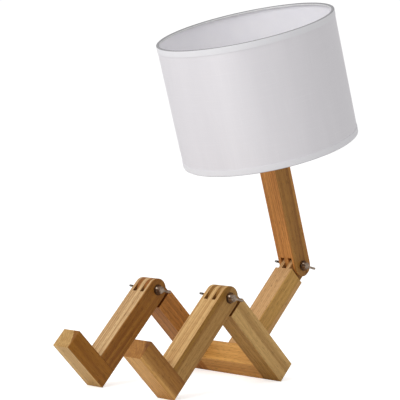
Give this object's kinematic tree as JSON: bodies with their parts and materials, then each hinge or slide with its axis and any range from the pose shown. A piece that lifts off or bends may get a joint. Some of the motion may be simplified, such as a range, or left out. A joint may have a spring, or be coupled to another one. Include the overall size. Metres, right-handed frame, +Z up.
{
  "type": "desk lamp",
  "caption": "Desk lamp like a sitting robot: wooden block limbs on finger knuckles with wing screws carry a white fabric drum shade over a screw-base bulb.",
  "frame": {"origin": "on the table, under the middle of the whole lamp's box, in the sitting pose", "axes": "+Z up; -Y the way the robot faces, from its seat towards its toes; +X across, towards the robot's left leg"},
  "size_m": [0.17, 0.3048, 0.3524],
  "materials": {
    "block_wood": "straight-grained hardwood, honey-brown stain under a satin varnish",
    "dowel_wood": "plain beech, glued in, not seen",
    "zinc_steel": "zinc-plated steel, dulled by handling",
    "black_plastic": "matte black nylon",
    "holder_plastic": "white moulded thermoplastic, semi-matte",
    "contact_brass": "bare brass",
    "frame_wire": "steel wire with white enamel",
    "shade_lining": "white styrene sheet with a soft sheen",
    "shade_cloth": "white cotton-linen weave, laminated smooth on its backing",
    "edge_tape": "white woven edging tape, folded over the rim",
    "bulb_opal": "opal diffuser, satin",
    "bulb_plastic": "white moulded plastic",
    "led_plate": "bare aluminium plate",
    "circuit_board": "green lacquered circuit board",
    "bulb_nickel": "nickel-plated brass screw cap"
  },
  "bodies": {
    "pelvis": {"hip_crossbar": "block_wood", "left_thigh": "block_wood", "right_thigh": "block_wood", "torso": "block_wood", "left_hip_dowels": "dowel_wood", "right_hip_dowels": "dowel_wood", "torso_dowels": "dowel_wood", "left_knee_wing_screw": "zinc_steel", "left_knee_washers": "zinc_steel", "right_knee_wing_screw": "zinc_steel", "right_knee_washers": "zinc_steel", "waist_wing_screw": "zinc_steel", "waist_washers": "zinc_steel"},
    "left_shin": {"left_calf": "block_wood", "left_foot": "block_wood", "left_ankle_dowels": "dowel_wood"},
    "right_shin": {"right_calf": "block_wood", "right_foot": "block_wood", "right_ankle_dowels": "dowel_wood"},
    "upper_body": {"neck": "block_wood", "cord_bush": "black_plastic", "threaded_nipple": "zinc_steel", "lock_nut": "zinc_steel", "lampholder_cap": "holder_plastic", "nipple_lock_screw": "zinc_steel", "lampholder_body": "holder_plastic", "lampholder_core": "holder_plastic", "screw_shell": "contact_brass", "centre_contact": "contact_brass", "terminal_screws": "contact_brass", "shade_clamp_ring": "holder_plastic", "shade_carrier": "frame_wire", "bottom_wire_ring": "frame_wire", "top_wire_ring": "frame_wire", "shade_backing": "shade_lining", "shade_fabric": "shade_cloth", "top_edge_tape": "edge_tape", "bottom_edge_tape": "edge_tape", "bulb_globe": "bulb_opal", "bulb_housing": "bulb_plastic", "bulb_led_plate": "led_plate", "bulb_driver": "circuit_board", "bulb_cap": "bulb_nickel", "bulb_insulator": "black_plastic", "bulb_tip": "contact_brass"},
    "left_knee_nut": {"left_knee_wing_nut": "zinc_steel"},
    "right_knee_nut": {"right_knee_wing_nut": "zinc_steel"},
    "waist_nut": {"waist_wing_nut": "zinc_steel"}
  },
  "joints": [
    {"name": "left_knee", "type": "hinge", "parent": "pelvis", "child": "left_shin", "pos_m": [0.046, -0.04359, 0.08273], "axis": [-1, 0, 0], "range_deg": [-6, 120]},
    {"name": "right_knee", "type": "hinge", "parent": "pelvis", "child": "right_shin", "pos_m": [-0.046, -0.04359, 0.08273], "axis": [-1, 0, 0], "range_deg": [-6, 120]},
    {"name": "waist", "type": "hinge", "parent": "pelvis", "child": "upper_body", "pos_m": [0, 0.10737, 0.09793], "axis": [-1, 0, 0], "range_deg": [-30, 100]},
    {"name": "left_knee_nut_turn", "type": "hinge", "parent": "pelvis", "child": "left_knee_nut", "pos_m": [0.046, -0.04359, 0.08273], "axis": [-1, 0, 0], "continuous": true},
    {"name": "right_knee_nut_turn", "type": "hinge", "parent": "pelvis", "child": "right_knee_nut", "pos_m": [-0.046, -0.04359, 0.08273], "axis": [-1, 0, 0], "continuous": true},
    {"name": "waist_nut_turn", "type": "hinge", "parent": "pelvis", "child": "waist_nut", "pos_m": [0, 0.10737, 0.09793], "axis": [-1, 0, 0], "continuous": true}
  ]
}
